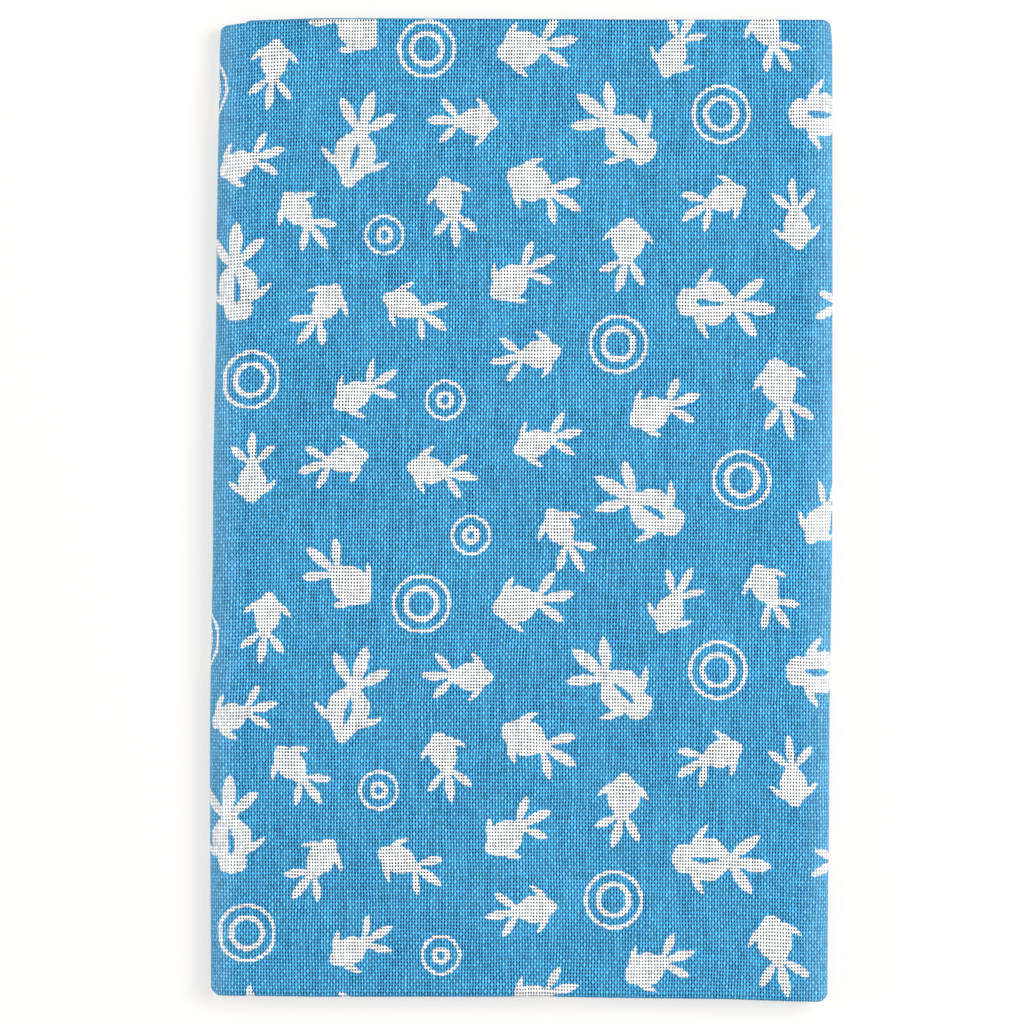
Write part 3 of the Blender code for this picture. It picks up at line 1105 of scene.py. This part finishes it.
def cotton_material():
    """Plain-woven cotton, dyed blue with a white print, thread by thread, with shade and highlights painted
    into its colour.
    """
    material = bpy.data.materials.new("printed_cotton")
    material.use_nodes = True
    tree = material.node_tree
    shader = tree.nodes["Principled BSDF"]
    shader.inputs["Roughness"].default_value = 0.85
    shader.inputs["Specular IOR Level"].default_value = 0.04
    shader.inputs["Sheen Weight"].default_value = 0.20
    shader.inputs["Sheen Roughness"].default_value = 0.3

    across, along = parts(attribute(tree, "cloth_place", "Vector"))[:2]
    threads = weave(across, along)
    chance = crossing_chance(tree, threads)
    white = print_whiteness(tree, threads, chance)
    base = dyed(tree, threads, fold_highlight(across), white)

    dye_patch = noise(across / PATCH_LENGTH, along / PATCH_LENGTH, 9.0, 3.0) - 0.5
    tone = dye_patch * PATCH_TONE + threads.shade * THREAD_TONE + chance * CROSSING_TONE + 1.0
    shaded = base.node("ShaderNodeMix", data_type="RGBA", blend_type="MULTIPLY")
    shaded.inputs["Factor"].default_value = 1.0
    base.feed(shaded.inputs["A"], base)
    base.feed(shaded.inputs["B"], joined(tone, tone, tone))
    tree.links.new(shaded.outputs["Result"], shader.inputs["Base Color"])

    bump = tree.nodes.new("ShaderNodeBump")
    bump.inputs["Strength"].default_value = 0.6
    bump.inputs["Distance"].default_value = 0.12 * MM
    base.feed(bump.inputs["Height"], threads.height)
    tree.links.new(bump.outputs["Normal"], shader.inputs["Normal"])
    return material


def make_towel():
    mesh = make_sheet()
    mesh.materials.append(cotton_material())
    towel = bpy.data.objects.new("cotton_towel", mesh)
    bpy.context.scene.collection.objects.link(towel)
    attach(towel, "root")
    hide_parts(CLOTH_NODE)
    return towel


def make_floor():
    mesh = bpy.data.meshes.new("floor")
    corners = [(x * FLOOR_REACH, y * FLOOR_REACH, 0) for x, y in ((-1, -1), (1, -1), (1, 1), (-1, 1))]
    mesh.from_pydata(corners, [], [(0, 1, 2, 3)])
    material = bpy.data.materials.new("floor")
    material.use_nodes = True
    shader = material.node_tree.nodes["Principled BSDF"]
    shader.inputs["Base Color"].default_value = (0.40, 0.395, 0.39, 1.0)
    shader.inputs["Roughness"].default_value = 1.0
    shader.inputs["Specular IOR Level"].default_value = 0.0
    shader.inputs["Emission Color"].default_value = (1.0, 0.965, 0.925, 1.0)
    shader.inputs["Emission Strength"].default_value = 0.60
    mesh.materials.append(material)
    floor = bpy.data.objects.new("floor", mesh)
    bpy.context.scene.collection.objects.link(floor)
    return floor


def make_light():
    """A pale room, with a large soft lamp high at the right, and a weaker low one at the left."""
    world = bpy.data.worlds.new("room")
    world.use_nodes = True
    background = world.node_tree.nodes["Background"]
    background.inputs["Color"].default_value = (1.0, 1.0, 1.0, 1.0)
    background.inputs["Strength"].default_value = 0.52
    bpy.context.scene.world = world

    make_lamp("soft_lamp", size=0.7, energy=10.0, location=(0.66, 0.18, 0.95))
    make_lamp("fill_lamp", size=0.8, energy=5.0, location=(-1.2, 0.0, 0.45))


def make_lamp(name, size, energy, location):
    """A round lamp that points at the towel. Its size and location are in metres."""
    lamp = bpy.data.lights.new(name, "AREA")
    lamp.shape = "DISK"
    lamp.size = size
    lamp.energy = energy
    lamp_object = bpy.data.objects.new(name, lamp)
    lamp_object.location = location
    lamp_object.rotation_mode = "QUATERNION"
    lamp_object.rotation_quaternion = lamp_object.location.to_track_quat("Z", "Y")
    bpy.context.scene.collection.objects.link(lamp_object)


def make_camera(face_height):
    """A camera straight above the towel, with the photograph's framing."""
    camera = bpy.data.cameras.new("camera")
    camera.sensor_width = 36.0
    camera.lens = camera.sensor_width * CAMERA_DISTANCE / FRAME_WIDTH
    camera.clip_start = 0.05
    camera.clip_end = 20.0
    camera_object = bpy.data.objects.new("camera", camera)
    middle_across, middle_height = FRAME_MIDDLE
    camera_object.location = (
        middle_across * MM,
        middle_height * MM,
        face_height + CAMERA_DISTANCE * MM,
    )
    bpy.context.scene.collection.objects.link(camera_object)
    bpy.context.scene.camera = camera_object


towel = make_towel()
floor = make_floor()
make_light()
make_camera(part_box(CLOTH_NODE)[1].z)
bpy.context.scene.view_settings.view_transform = "Standard"
